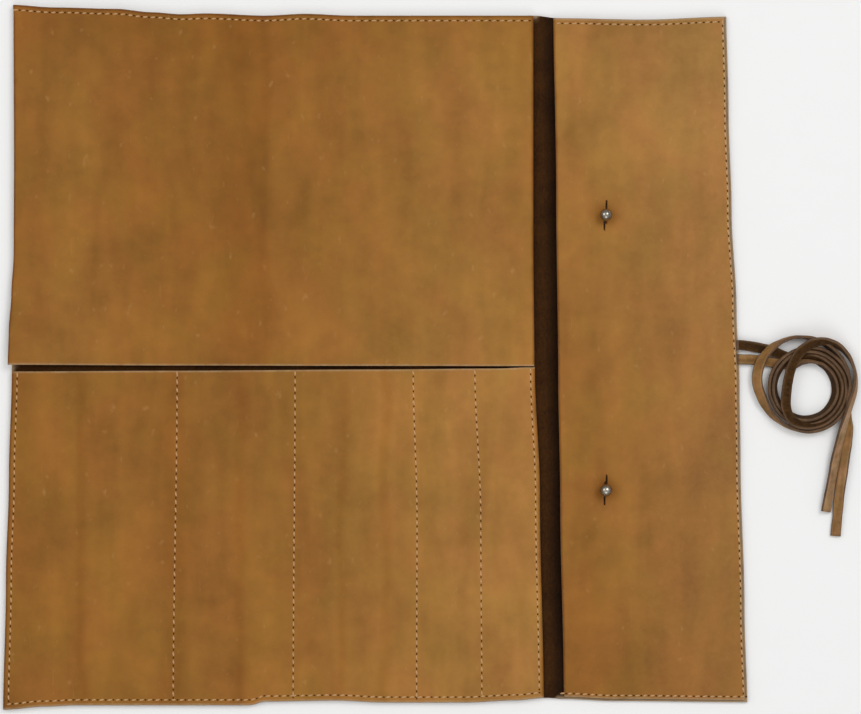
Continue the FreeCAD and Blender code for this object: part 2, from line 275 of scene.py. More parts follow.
def makeFlesh(name, look, bumpStrength=0.8):
    # the rough side: short dark nap, pale at a worn rim
    nodes = Nodes(name)
    flat = nodes.place()
    clouds = nodes.noise(flat, look["cloud"], 4.0, 0.6)
    fibre = nodes.noise(nodes.stretch(flat, (1.0, 0.55, 1.0)), look["fibre"], 5.0, 0.75, 0.6)
    share = nodes.math("ADD", nodes.math("MULTIPLY", fibre, 1.2), nodes.math("MULTIPLY", clouds, 0.8))
    colour = nodes.mix(nodes.span(share, 0.7, 1.35), look["dark"], look["light"])
    # the tone attribute darkens the nap, the painted shadow along the side pocket's edge included
    tone = nodes.attribute("tone")
    colour = nodes.mix(1.0, colour, nodes.add("CombineXYZ", X=tone, Y=tone, Z=tone), "MULTIPLY")
    colour = nodes.mix(nodes.attribute("wear"), colour, look["rim"])
    nodes.bump(fibre, bumpStrength, look["bump"])
    return nodes.finish(Base_Color=colour, Roughness=nodes.span(fibre, 0.3, 0.7, 0.78, 0.95),
                        Specular_IOR_Level=0.08, Sheen_Weight=0.02, Sheen_Roughness=0.6)


cutEdge = {
    "dark": (0.14, 0.083, 0.043, 1),
    "light": (0.31, 0.205, 0.115, 1),
    "fibre": 120.0,
    "cloud": 14.0,
    "bump": 0.3 * mm,
}


def makeCutEdge(name, look):
    # the cut through the hide, fibrous and uneven
    nodes = Nodes(name)
    flat = nodes.place()
    fibre = nodes.noise(flat, look["fibre"], 5.0, 0.7)
    clouds = nodes.noise(flat, look["cloud"], 3.0, 0.6)
    share = nodes.math("ADD", nodes.math("MULTIPLY", fibre, 0.7), nodes.math("MULTIPLY", clouds, 0.6))
    colour = nodes.mix(nodes.span(share, 0.45, 0.85), look["dark"], look["light"])
    nodes.bump(fibre, 0.7, look["bump"])
    return nodes.finish(Base_Color=colour, Roughness=nodes.span(fibre, 0.3, 0.7, 0.65, 0.9))


thread = {
    "dark": (0.40, 0.20, 0.075, 1),
    "light": (0.80, 0.48, 0.225, 1),
    "twist": 2.2,
    "bump": 0.15 * mm,
}


def makeThread(name, look):
    # waxed thread, its plies turning round it, with painted shade darkening the grooves between the plies
    nodes = Nodes(name)
    plies = nodes.add("TexWave", {"wave_type": "BANDS", "bands_direction": "DIAGONAL"}, output=1,
                      Vector=nodes.place(), Scale=look["twist"], Distortion=1.0, Detail=2.0)
    colour = nodes.mix(nodes.span(plies, 0.1, 0.8), look["dark"], look["light"])
    nodes.bump(plies, 0.6, look["bump"])
    return nodes.finish(Base_Color=colour, Roughness=nodes.span(plies, 0.0, 1.0, 0.62, 0.45))


prick = {
    "dark": (0.034, 0.013, 0.003, 1),
    "light": (0.100, 0.038, 0.010, 1),
    "speck": 300.0,
}


def makePrick(name, look):
    # painted shade: a dark bead standing in for the shadow inside a needle hole
    nodes = Nodes(name)
    specks = nodes.noise(nodes.place(), look["speck"])
    colour = nodes.mix(specks, look["dark"], look["light"])
    return nodes.finish(Base_Color=colour, Roughness=nodes.span(specks, 0.3, 0.7, 0.8, 0.95),
                        Specular_IOR_Level=0.0)


steel = {
    "dark": (0.20, 0.18, 0.145, 1),
    "light": (0.50, 0.46, 0.39, 1),
    "marks": 900.0,
    "smear": 260.0,
    "bump": 0.05 * mm,
}


def makeSteel(name, look):
    # polished nickel with fine handling marks
    nodes = Nodes(name)
    spot = nodes.add("TexCoord", output=3)
    marks = nodes.noise(nodes.stretch(spot, (1, 1, 4)), look["marks"], 4.0, 0.7)
    smear = nodes.noise(spot, look["smear"], 3.0, 0.6)
    colour = nodes.mix(smear, look["dark"], look["light"])
    nodes.bump(marks, 0.12, look["bump"])
    rough = nodes.math("ADD", nodes.span(smear, 0.3, 0.7, 0.12, 0.26), nodes.span(marks, 0.5, 0.8, 0.0, 0.1))
    return nodes.finish(Base_Color=colour, Roughness=rough, Metallic=1.0)


leatherGrain = makeGrain("leather grain side", grain)
leatherFlesh = makeFlesh("leather flesh side", flesh)
leatherEdge = makeCutEdge("leather cut edge", cutEdge)
leatherSides = [leatherGrain, leatherFlesh, leatherEdge]
waxedThread = makeThread("waxed thread", thread)
needleHoleShade = makePrick("needle hole", prick)
nickel = makeSteel("polished nickel", steel)

laceGrainLook = dict(grain, dark=(0.13, 0.062, 0.017, 1), light=(0.33, 0.175, 0.065, 1),
                     worn=(0.40, 0.25, 0.12, 1), cloud=9.0, bands=(5.0, 40.0, 1), fine=60.0)
laceFleshLook = dict(flesh, dark=(0.014, 0.0056, 0.0012, 1), light=(0.090, 0.040, 0.011, 1),
                     rim=(0.13, 0.070, 0.027, 1), cloud=22.0)
laceEdgeLook = dict(cutEdge, dark=(0.030, 0.014, 0.005, 1), light=(0.17, 0.085, 0.034, 1))
laceSides = [makeGrain("lace grain side", laceGrainLook, 0.7), makeFlesh("lace flesh side", laceFleshLook),
             makeCutEdge("lace cut edge", laceEdgeLook)]
print("materials made")


# Tie laces: two flat strips wound loosely into a ring

lace = {
    "width": 5 * mm,
    "thick": 1.6 * mm,
    "round": 0.3 * mm,
    "stepsPerTurn": 16,
    "ringMiddle": (216.3, -15.3),
    "twist": 6,
    "ragged": 0.28 * mm,
    "wear": 0.5,
    "wearReach": 1.0 * mm,
}

# points are x, y, z in mm and the strip's roll in degrees: 0 grain side up, 90 on edge, 180 flesh side up
# turns are (degrees turned, radius, height, roll), and tones are (share of the length, tone)
laceRoutes = {
    "upper": {
        "lead": [(182, 6.25, 1.8, 178), (186.5, 6.0, 1.8, 172), (192, 5.0, 1.9, 160), (198, 3.7, 1.6, 168),
                 (203.5, 1.4, 1.2, 176), (208, -0.6, 1.3, 165)],
        "turnFrom": 104,
        "turnBy": 549,
        "turns": [(0, 15.8, 1.7, 150), (30, 16.0, 2.5, 124), (330, 19.0, 2.6, 116), (365, 19.7, 4.3, 118),
                  (400, 20.3, 2.7, 116), (480, 21.2, 2.7, 112), (549, 22.0, 2.7, 98)],
        "rest": [(211.5, -36.6, 2.7, 92), (204.5, -33.8, 3.1, 84), (197.6, -28.2, 3.8, 64),
                 (192.6, -19.4, 4.3, 34), (190.6, -10.2, 4.3, 20), (192.4, -2.2, 4.4, 24),
                 (197.0, 4.2, 4.6, 50), (203.0, 8.3, 3.8, 80), (210.6, 10.7, 3.0, 90),
                 (219.8, 9.7, 2.7, 98), (228.6, 4.9, 2.7, 108), (234.6, -3.0, 2.7, 112),
                 (237.2, -12.8, 2.7, 110), (236.3, -22.0, 2.5, 84), (236.4, -29.5, 2.1, 40),
                 (237.0, -37.0, 1.7, 0), (235.2, -50, 1.8, -30), (232.8, -66.0, 1.6, -24),
                 (231.6, -78.0, 1.2, -12), (230.8, -89.4, 0.9, -3)],
        "tones": [(0, 1), (0.9, 0.95), (1, 1.1)],
    },
    "lower": {
        "lead": [(182, -0.75, 1.8, 2), (186.5, -0.9, 1.8, 6), (191, -1.3, 1.7, 4), (195.5, -1.9, 1.2, 0),
                 (200.5, -2.6, 1.0, -6), (205, -3.4, 1.3, -12)],
        "turnFrom": 122,
        "turnBy": 600,
        "turns": [(0, 13.9, 1.7, 30), (36, 13.8, 2.6, 78), (80, 14.0, 2.6, 112), (335, 16.9, 2.6, 116),
                  (378, 17.6, 4.3, 118), (420, 18.0, 2.7, 116), (520, 19.0, 2.7, 118), (560, 19.2, 4.2, 130),
                  (600, 18.6, 6.1, 150)],
        "rest": [(204.9, -24.6, 6.2, 166), (205.2, -18.5, 5.6, 168), (206.2, -11.5, 5.4, 168),
                 (207.9, -4.4, 6.0, 168), (211.0, 1.9, 7.0, 164), (215.9, 6.2, 7.5, 154),
                 (222.0, 8.5, 6.8, 138), (229.4, 7.4, 4.6, 118), (236.0, 2.6, 3.0, 98),
                 (240.0, -5.0, 2.7, 84), (240.7, -12.4, 3.0, 70), (239.0, -19.6, 4.2, 62),
                 (236.2, -27.1, 5.2, 54), (233.8, -35.4, 4.4, 48), (230.6, -49.0, 3.0, 34),
                 (227.8, -65.3, 2.3, 30), (225.6, -77.2, 1.9, 26)],
        "tones": [(0, 1), (0.78, 1), (0.86, 1.4), (1, 1.3)],
    },
}


def laceSpots(route):
    spots = [(Vector(spot[:3]) * mm, spot[3]) for spot in route["lead"]]
    count = round(route["turnBy"] / 360 * lace["stepsPerTurn"])
    radii, heights, rolls = ([(turn[0], turn[column]) for turn in route["turns"]] for column in (1, 2, 3))
    for step in range(count + 1):
        turned = route["turnBy"] * step / count
        angle = math.radians(route["turnFrom"] - turned)
        radius = along(radii, turned)
        x = lace["ringMiddle"][0] + radius * math.cos(angle)
        y = lace["ringMiddle"][1] + radius * math.sin(angle)
        spots.append((Vector((x, y, along(heights, turned))) * mm, along(rolls, turned)))
    return spots + [(Vector(spot[:3]) * mm, spot[3]) for spot in route["rest"]]


def laceLine(name, points):
    # a spline through the route, read back as close points
    curve = bpy.data.curves.new(name, "CURVE")
    curve.dimensions = "3D"
    curve.resolution_u = 8
    spline = curve.splines.new("NURBS")
    spline.points.add(len(points) - 1)
    for spot, point in zip(spline.points, points):
        spot.co = (*point, 1)
    spline.order_u = 3
    spline.use_endpoint_u = True
    guide = addPiece(name, curve)
    bpy.context.view_layer.update()
    evaluated = guide.evaluated_get(bpy.context.evaluated_depsgraph_get())
    mesh = bpy.data.meshes.new_from_object(evaluated)
    line = [vert.co.copy() for vert in mesh.vertices]
    bpy.data.objects.remove(guide)
    bpy.data.meshes.remove(mesh)
    return line


def laceStrip(name, line, rolls, tones):
    # grid wrapped round the section, its rows following the line
    last = len(rolls) - 2
    knots = [(min(max(number - 0.5, 0), last), roll) for number, roll in enumerate(rolls)]
    half, deep, soft = lace["width"] / 2, lace["thick"] / 2, lace["round"]
    section = [(-half, -deep + soft), (-half, deep - soft), (-half + soft, deep), (-half / 2, deep),
               (0, deep), (half / 2, deep), (half - soft, deep), (half, deep - soft),
               (half, -deep + soft), (half - soft, -deep), (half / 2, -deep), (0, -deep),
               (-half / 2, -deep), (-half + soft, -deep)]
    grainTurns, fleshTurns = range(2, 6), range(9, 13)
    shape = bmesh.new()
    bmesh.ops.create_grid(shape, x_segments=len(line) - 1, y_segments=len(section), size=0.5)
    layer = shape.loops.layers.uv.new("flat")
    tone = shape.verts.layers.float.new("tone")
    wear = shape.verts.layers.float.new("wear")
    travelled = [0.0]
    for before, after in zip(line, line[1:]):
        travelled.append(travelled[-1] + (after - before).length)
    spots = {}
    for vert in shape.verts:
        row = round((vert.co.x + 0.5) * (len(line) - 1))
        turn = round((vert.co.y + 0.5) * len(section))
        spots[vert] = row, turn
    for face in shape.faces:
        first = min(spots[vert][1] for vert in face.verts)
        face.material_index = 0 if first in grainTurns else 1 if first in fleshTurns else 2
        face.smooth = True
        under = (first > 7) * 3
        for loop in face.loops:
            row, turn = spots[loop.vert]
            loop[layer].uv = travelled[row] / flatUnit, section[turn % len(section)][0] / flatUnit + under
    for vert, (row, turn) in spots.items():
        ahead = (line[min(row + 1, len(line) - 1)] - line[max(row - 1, 0)]).normalized()
        side = ahead.cross(Vector((0, 0, 1))).normalized()
        up = side.cross(ahead)
        twist = lace["twist"] * ripple(travelled[row], 0, 11 * mm, 2.3)
        roll = math.radians(along(knots, last * row / (len(line) - 1)) + twist)
        wide = side * math.cos(roll) + up * math.sin(roll)
        face = up * math.cos(roll) - side * math.sin(roll)
        across, through = section[turn % len(section)]
        ragged = lace["ragged"] * ripple(travelled[row], across, 6 * mm, 4.2)
        across += ragged * (1 if across > 0 else -1)
        vert.co = line[row] + wide * across + face * through
        vert[tone] = along(tones, row / (len(line) - 1)) + 0.25 * ripple(travelled[row], 0, 22 * mm, 9.1)
        vert[wear] = lace["wear"] * smooth(half - lace["wearReach"], half, abs(across))
    bmesh.ops.remove_doubles(shape, verts=shape.verts[:], dist=0.01 * mm)
    ends = [edge for edge in shape.edges if edge.is_boundary]
    caps = bmesh.ops.holes_fill(shape, edges=ends, sides=0)
    for face in caps["faces"]:
        face.material_index = 2
        face.smooth = False
    bmesh.ops.recalc_face_normals(shape, faces=shape.faces[:])
    return makePiece(name, shape, laceSides), travelled[-1]


for part, standsFor in (("upper", ("lace_lead_upper", "lace_tail_upper", "lace_coil")),
                        ("lower", ("lace_lead_lower", "lace_tail_lower"))):
    route = laceRoutes[part]
    spots = laceSpots(route)
    line = laceLine(f"guide_{part}", [point for point, roll in spots])
    strip, length = laceStrip(f"lace_{part}", line, [roll for point, roll in spots], route["tones"])
    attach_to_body(strip, "right_section")
    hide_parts(*standsFor)
    print(f"lace {part}: {length:.3f} m long")


# Places of the case, from the frame

hinges = {joint["name"]: Vector(joint["pos_m"]) for joint in frame["joints"]}
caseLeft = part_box("back_left")[0].x
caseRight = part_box("back_right")[1].x
caseBottom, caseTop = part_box("back_left")[0].y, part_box("back_left")[1].y
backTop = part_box("back_left")[1].z
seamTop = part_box("flap_hem_left")[1].z
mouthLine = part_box("pocket_front_1")[1].y
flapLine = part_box("flap_left")[0].y
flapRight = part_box("flap_right")[1].x
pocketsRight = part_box("pocket_front_5")[1].x
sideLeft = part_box("side_pocket_front")[0].x
dividerLines = [middleOf(f"thread_divider_{number}").x for number in range(1, 5)]
leftFold, mainFold = hinges["left_fold"].x, hinges["main_fold"].x
studPlaces = [middleOf("stud_upper"), middleOf("stud_lower")]
splitX = dividerLines[1]


# How the hand-cut leather wanders from straight lines: (place along the line, distance off it), mm

wander = {
    "left": [(-177, -4.4), (-110, -3), (-60, -1.5), (-5, 0), (48, 1.2), (177, 0.8)],
    "flapLeft": [(-5, -1.4), (12, -1), (30, 0.2), (50, 1.3), (110, 1.6), (165, 1.2), (177, 0.5)],
    "right": [(-177, 4.4), (-126, 3), (-51, 1), (-14, 0.5), (24, -1), (74, -3.5), (124, -5), (177, -6.2)],
    "top": [(-184, 2.8), (-160, 1.4), (-130, 0.7), (-112, -1), (-97, -2), (-85, -1.6), (-55, -2.7),
            (-35, -1.8), (-12, -2.7), (79, -2.7), (92, -4), (135, -4.7), (178, -3.2)],
    "bottom": [(-186, -2.4), (-165, -0.8), (-150, -0.2), (-63, -0.2), (-55, 1.7), (-20, 2.2), (5, 1.2),
               (45, 1.2), (70, 2.3), (86, 3.6), (95, 3), (120, 2), (187, 1.4)],
    "mouth": [(-184, -0.9), (-100, -0.5), (0, 0.1), (60, 0.6), (80, 1.3)],
    "flapEdge": [(-184, 0.4), (-100, 0), (0, -0.2), (80, -0.3)],
    "flapRight": [(-5, 0.1), (60, -0.4), (177, -0.4)],
    "pocketsRight": [(-177, 1.8), (-70, -0.1), (-6, -2.6)],
    "sideLeft": [(-177, 3), (-71, 1), (-10, 0), (80, -1), (177, -2.3)],
    "divider1": [(-174, -1), (-5, 1)],
    "divider2": [(-174, -0.5), (-5, 0.5)],
    "divider3": [(-174, 0.45), (-81, 0.65), (-5, -1.25)],
    "divider4": [(-174, 1.4), (-81, 0.85), (-5, -2.1)],
}


def edge(line, name):
    return lambda at: line + along(wander[name], at / mm) * mm


def shifted(edgeLine, distance):
    return lambda at: edgeLine(at) + distance


leftEdge, rightEdge = edge(caseLeft, "left"), edge(caseRight, "right")
topEdge, bottomEdge = edge(caseTop, "top"), edge(caseBottom, "bottom")
flapLeftEdge, flapRightEdge = edge(caseLeft, "flapLeft"), edge(flapRight, "flapRight")
mouthEdge, flapEdge = edge(mouthLine, "mouth"), edge(flapLine, "flapEdge")
pocketsRightEdge, sideLeftEdge = edge(pocketsRight, "pocketsRight"), edge(sideLeft, "sideLeft")
dividers = [edge(line, f"divider{n}") for n, line in enumerate(dividerLines, start=1)]

seams = {
    "left": 3.0 * mm,
    "right": 2.1 * mm,
    "top": 2.8 * mm,
    "bottom": 3.0 * mm,
    "dip": 0.28 * mm,
    "dipReach": 1.9 * mm,
}
leftSeam, rightSeam = shifted(leftEdge, seams["left"]), shifted(rightEdge, -seams["right"])
topSeam, bottomSeam = shifted(topEdge, -seams["top"]), shifted(bottomEdge, seams["bottom"])
pocketsRightSeam = shifted(pocketsRightEdge, -seams["right"])
pocketSeams = [leftSeam, *dividers, pocketsRightSeam]


# Heights of the leather's upper side

pockets = {
    "swell": 2.3 * mm,
    "seamReach": 15 * mm,
    "baseReach": 45 * mm,
    "ripple": 0.55 * mm,
    "rippleSize": 36 * mm,
    "fine": 0.16 * mm,
}

sidePocket = {
    "swell": 3.6 * mm,
    "seamReach": 34 * mm,
    "endReach": 48 * mm,
    "edgeDroop": 0.8 * mm,
    "droopReach": 14 * mm,
    "dimple": 0.9 * mm,
    "dimpleReach": 7 * mm,
    "ripple": 0.6 * mm,
    "rippleSize": 45 * mm,
    "fine": 0.14 * mm,
}

# creases are (place across, depth, half its width), in mm
flap = {
    "lift": 0.25 * mm,
    "freeFrom": (6 * mm, 60 * mm),
    "ripple": 0.5 * mm,
    "rippleSize": 50 * mm,
    "fine": 0.12 * mm,
    "cornerLift": 1.4 * mm,
    "edgeLift": 0.7 * mm,
    "creases": [(-53, 0.45, 3), (-96, 0.3, 6), (12, 0.25, 8)],
}


def seamDip(distance):
    # the thread pulls the leather down in a narrow groove
    return seams["dip"] * math.exp(-(distance / seams["dipReach"]) ** 2)


def pocketTop(x, y):
    room = min(abs(x - seam(y)) for seam in pocketSeams)
    base = y - bottomSeam(x)
    rise = smooth(0, pockets["seamReach"], room) * smooth(0, pockets["baseReach"], base)
    wave = ripple(x, y * 0.6, pockets["rippleSize"], 3.1) * pockets["ripple"]
    wave += ripple(x * 1.6, y * 0.4, 12 * mm, 8.7) * pockets["fine"]
    return seamTop + rise * (pockets["swell"] + wave) - seamDip(room) - seamDip(base)


def flapTop(x, y):
    below = topEdge(x) - y
    free = smooth(*flap["freeFrom"], below)
    wave = ripple(x, y * 0.7, flap["rippleSize"], 11.3) * flap["ripple"]
    wave += ripple(x * 1.5, y * 0.5, 14 * mm, 5.2) * flap["fine"]
    for place, depth, reach in flap["creases"]:
        wave -= depth * mm * math.exp(-((x / mm - place) / reach) ** 2)
    toEdge = y - flapEdge(x)
    corner = smooth(50 * mm, 0, x - flapLeftEdge(y)) * smooth(60 * mm, 0, toEdge)
    lift = flap["cornerLift"] * corner + flap["edgeLift"] * smooth(20 * mm, 0, toEdge)
    height = backTop + sheetThick + flap["lift"] + free * (wave + flap["ripple"]) + lift
    return height - seamDip(below - seams["top"])


def sideTop(x, y):
    fromRight = rightSeam(y) - x
    fromEnds = min(topSeam(x) - y, y - bottomSeam(x))
    rise = smooth(0, sidePocket["seamReach"], fromRight) * smooth(0, sidePocket["endReach"], fromEnds)
    droop = sidePocket["edgeDroop"] * smooth(sidePocket["droopReach"], 0, x - sideLeftEdge(y))
    wave = ripple(x * 0.8, y * 0.6, sidePocket["rippleSize"], 21.4) * sidePocket["ripple"]
    wave += ripple(x * 1.3, y * 0.6, 13 * mm, 2.9) * sidePocket["fine"]
    height = seamTop + rise * (sidePocket["swell"] - droop + wave)
    for stud in studPlaces:
        reach = (Vector((x, y)) - stud.xy).length / sidePocket["dimpleReach"]
        height -= sidePocket["dimple"] * math.exp(-reach * reach)
    return height - seamDip(fromRight) - seamDip(fromEnds)


back = {
    "upperRipple": 0.06 * mm,
    "under": 0.28 * mm,
    "underRipple": 0.1 * mm,
}


def backUpper(x, y):
    return backTop - back["upperRipple"] + back["upperRipple"] * ripple(x, y, 20 * mm, 1.7)


def backUnder(x, y):
    return back["under"] + back["underRipple"] * ripple(x, y, 30 * mm, 6.1)


def hanging(upper):
    return lambda x, y: upper(x, y) - sheetThick


# Oil darkened the hide unevenly, and the general rise in tone from left to right is partly painted light as
# well: (place across in mm, tone) for the flap and the pockets, (place up, tone) for the side pocket

tones = {
    "flap": [(-184, 0.86), (-150, 0.90), (-120, 0.84), (-85, 0.82), (-68, 0.76), (-56, 0.76), (-50, 0.86),
             (-30, 0.88), (0, 0.94), (30, 1.0), (60, 1.02), (80, 0.98)],
    "pockets": [(-186, 0.85), (-160, 0.86), (-150, 0.86), (-147, 0.79), (-142, 0.87), (-110, 0.87),
                (-103, 0.81), (-98, 0.82), (-92, 0.89), (-72, 0.89), (-67, 0.82), (-62, 0.90),
                (-45, 0.92), (-20, 0.97), (-17, 0.91), (-12, 1.01), (1, 1.02), (5, 0.95), (10, 1.05),
                (50, 1.10), (84, 1.12)],
    "side": [(-177, 0.84), (-130, 0.88), (-60, 0.92), (-20, 0.95), (60, 1.02), (130, 1.09), (177, 1.10)],
}


def flapTone(x, y):
    # a little paler towards its free edge and darker along its seam
    upDown = 1 + 0.05 * smooth(90 * mm, -10 * mm, y) - 0.07 * smooth(130 * mm, 174 * mm, y)
    return along(tones["flap"], (x + 3 * mm * ripple(x, y, 40 * mm, 15.2)) / mm) * upDown


def pocketTone(x, y):
    return along(tones["pockets"], (x + 3.5 * mm * ripple(x, y, 30 * mm, 33.2)) / mm)


def sideTone(x, y):
    # painted shade: darker round each stud, under the ball and in the dimple it presses
    tone = along(tones["side"], y / mm)
    for stud in studPlaces:
        reach = (Vector((x, y)) - stud.xy).length / (5.5 * mm)
        tone *= 1 - 0.3 * math.exp(-reach * reach)
    return tone


def backToneAndShadow(x, y):
    # painted shadow: darker along the side pocket's mouth, where its raised open edge casts shadow on the
    # nap
    sideShadow = smooth(-7 * mm, -2 * mm, x - sideLeftEdge(y))
    return (1.12 + 0.1 * ripple(x, y, 80 * mm, 5.5)) * (1 - 0.55 * sideShadow)


# Leather sheets

sheetThick = 1.75 * mm
sheets = {
    "cell": 1.25 * mm,
    "backCell": 2.2 * mm,
    "round": 0.3 * mm,
    "trim": 0.35 * mm,
    "sideTrim": 1.3 * mm,
    "paleToRight": 0.11,
    "wear": 0.75,
    "wearReach": 1.1 * mm,
    # rimShade is painted shade on the rims that are not pale, where the leather's edge rolls down
    "rimShade": 0.42,
    "rimShadeReach": 1.4 * mm,
}


def sheetShape(sides, cell, upper, under, tone, worn="", grainUp=True):
    # a grid laid between four sides, given its thickness, with softly rounded cut edges
    left, right, bottom, top = sides
    lowY, highY = bottom(0), top(0)
    shape = bmesh.new()
    bmesh.ops.create_grid(shape, x_segments=round((right(0) - left(0)) / cell),
                          y_segments=round((highY - lowY) / cell), size=0.5)
    for vert in shape.verts:
        across, up = vert.co.x + 0.5, vert.co.y + 0.5
        y = lowY + (highY - lowY) * up
        x = left(y) + (right(y) - left(y)) * across
        y = bottom(x) + (top(x) - bottom(x)) * up
        vert.co = x, y, 0
    grown = bmesh.ops.extrude_face_region(shape, geom=shape.faces[:], use_keep_orig=True)
    lower = {part for part in grown["geom"] if isinstance(part, bmesh.types.BMVert)}
    for vert in shape.verts:
        x, y = vert.co.x, vert.co.y
        vert.co.z = under(x, y) if vert in lower else upper(x, y)
    bmesh.ops.recalc_face_normals(shape, faces=shape.faces[:])
    for face in shape.faces:
        turned = face.normal.z if grainUp else -face.normal.z
        face.material_index = 0 if turned > 0.6 else 1 if turned < -0.6 else 2
    corners = [line for line in shape.edges if len({face.material_index for face in line.link_faces}) > 1]
    bmesh.ops.bevel(shape, geom=corners, offset=sheets["round"], segments=2, profile=0.5,
                    affect="EDGES", material=-1)
    toneLayer = shape.verts.layers.float.new("tone")
    wearLayer = shape.verts.layers.float.new("wear")
    flat = shape.loops.layers.uv.new("flat")
    for vert in shape.verts:
        x, y = vert.co.x, vert.co.y
        rims = {"left": x - left(y), "right": right(y) - x, "bottom": y - bottom(x), "top": top(x) - y}
        pale = min((rims[side] for side in rims if side in worn), default=1)
        if not grainUp:
            # the back's rim is pale only beyond the leather sewn on it, and wider there
            pale = 1 if pocketsRight < x < sideLeft else pale / 2.5
        # painted shade: the rims that are not pale are darkened where the leather's edge rolls down into
        # shadow
        shadedRims = min((rims[side] for side in rims if side not in worn), default=1)
        uneven = 0.4 * mm * ripple(x, y, 4 * mm, 4.4)
        rimShade = sheets["rimShade"] * smooth(sheets["rimShadeReach"], 0, shadedRims + uneven)
        vert[toneLayer] = tone(x, y) * (1 - rimShade)
        # paler towards the case's right edge
        paleToRight = sheets["paleToRight"] * smooth(sideLeft, caseRight, x)
        vert[wearLayer] = paleToRight + sheets["wear"] * smooth(sheets["wearReach"], 0, pale + uneven)
    for face in shape.faces:
        face.smooth = True
        aside = 0 if face.material_index == 0 else 5
        isEdge = face.material_index == 2
        for loop in face.loops:
            spot = loop.vert.co
            loop[flat].uv = spot.x / flatUnit + aside, (spot.y + spot.z * isEdge) / flatUnit
    return shape


def cutAt(shape, x, keepLow):
    # a copy of one side of a sheet, the cut closed
    half = shape.copy()
    cut = bmesh.ops.bisect_plane(half, geom=allOf(half), plane_co=(x, 0, 0), plane_no=(1, 0, 0),
                                 clear_outer=keepLow, clear_inner=not keepLow)
    rim = [line for line in cut["geom_cut"] if isinstance(line, bmesh.types.BMEdge)]
    filled = bmesh.ops.edgeloop_fill(half, edges=rim, mat_nr=2)
    for face in filled["faces"]:
        for line in face.edges:
            line.smooth = False
    return half


folds = {
    "left": 9 * mm,
    "main": 13 * mm,
    "flapBelow": 4.2 * mm,
    "flapAbove": 2 * mm,
    "rows": 0.6 * mm,
}


def addRows(shape, normal, low, high):
    # extra cuts in close rows across a sheet, along the line where it bends
    for step in range(round((high - low) / folds["rows"]) + 1):
        place = Vector(normal) * (low + folds["rows"] * step)
        bmesh.ops.bisect_plane(shape, geom=allOf(shape), plane_co=place, plane_no=normal, dist=0.02 * mm)


def bendAt(piece):
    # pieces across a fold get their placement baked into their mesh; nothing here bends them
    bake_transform(piece)


trim = sheets["trim"]
trimLeft = shifted(leftEdge, trim)
trimTop, trimBottom = shifted(topEdge, -trim), shifted(bottomEdge, trim)

backShape = sheetShape((leftEdge, rightEdge, bottomEdge, topEdge), sheets["backCell"], backUpper, backUnder,
                       backToneAndShadow, "left right bottom top", grainUp=False)
pocketShape = sheetShape((trimLeft, pocketsRightEdge, trimBottom, mouthEdge), sheets["cell"], pocketTop,
                         hanging(pocketTop), pocketTone, "top bottom")
flapShape = sheetShape((flapLeftEdge, flapRightEdge, flapEdge, trimTop), sheets["cell"], flapTop,
                       hanging(flapTop), flapTone, "bottom")
sideShape = sheetShape((sideLeftEdge, shifted(rightEdge, -sheets["sideTrim"]),
                        shifted(bottomEdge, sheets["sideTrim"]), trimTop), sheets["cell"], sideTop,
                       hanging(sideTop), sideTone, "right bottom top")
liftLine = hinges["flap_lift"].y
addRows(flapShape, (0, 1, 0), liftLine - folds["flapBelow"], liftLine + folds["flapAbove"])
print("leather laid out")


def sheetPiece(name, shape, nodes):
    piece = makePiece(name, shape, leatherSides)
    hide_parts(*nodes)
    return piece


backOuter = sheetPiece("back_outer", cutAt(backShape, splitX, True), ["back_left"])
backInner = sheetPiece("back_inner", cutAt(backShape, splitX, False), ["back_middle", "back_right"])
pocketsOuter = sheetPiece("pockets_outer", cutAt(pocketShape, splitX, True),
                          ["pocket_front_1", "pocket_front_2"])
pocketsInner = sheetPiece("pockets_inner", cutAt(pocketShape, splitX, False),
                          ["pocket_front_3", "pocket_front_4", "pocket_front_5"])
for piece in (backOuter, pocketsOuter):
    bendAt(piece)
for piece in (backInner, pocketsInner):
    bendAt(piece)

leafCuts = [caseLeft, leftFold, mainFold, flapRight]
for number, leaf in enumerate(("left", "middle", "right")):
    shape = flapShape
    if number < 2:
        shape = cutAt(shape, leafCuts[number + 1], True)
    if number > 0:
        shape = cutAt(shape, leafCuts[number], False)
    piece = sheetPiece(f"flap_leaf_{leaf}", shape, [f"flap_{leaf}", f"flap_hem_{leaf}"])
    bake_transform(piece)


# The side pocket's front, slit for the two ball studs

slit = {
    "half": 7.2 * mm,
    "width": 0.42 * mm,
    "taper": 1.4,
    "least": 0.05 * mm,
    "neck": 1.75 * mm,
    "points": 64,
    "closes": 0.6 * mm,
    "closing": 0.12,
    "slant": 0.085,
    "below": 0.5 * mm,
    "above": 0.8 * mm,
}


def slitCutter():
    # a thin lens with a round middle for the stud's neck, nearly closed on the leather's under side
    shape = bmesh.new()
    for stud in studPlaces:
        made = bmesh.ops.create_circle(shape, cap_ends=True, segments=slit["points"], radius=1)
        top = sideTop(stud.x, stud.y)
        for vert in made["verts"]:
            y = vert.co.y * slit["half"]
            narrow = slit["width"] * abs(vert.co.x) ** slit["taper"]
            wide = math.sqrt(max(slit["neck"] ** 2 - y * y, 0))
            vert.co = math.copysign(max(narrow, wide, slit["least"]), vert.co.x), y, 0
        faces = list({face for vert in made["verts"] for face in vert.link_faces})
        grown = bmesh.ops.extrude_face_region(shape, geom=faces, use_keep_orig=True)
        raised = [part for part in grown["geom"] if isinstance(part, bmesh.types.BMVert)]
        for vert in made["verts"]:
            vert.co.x *= slit["closing"] if abs(vert.co.x) < slit["closes"] else 1
            vert.co.z = top - sheetThick - slit["below"]
        for vert in raised:
            vert.co.z = top + slit["above"]
        for vert in made["verts"] + raised:
            vert.co.x += stud.x + slit["slant"] * vert.co.y
            vert.co.y += stud.y
    bmesh.ops.recalc_face_normals(shape, faces=shape.faces[:])
    return makePiece("slit_cutter", shape, leatherSides)


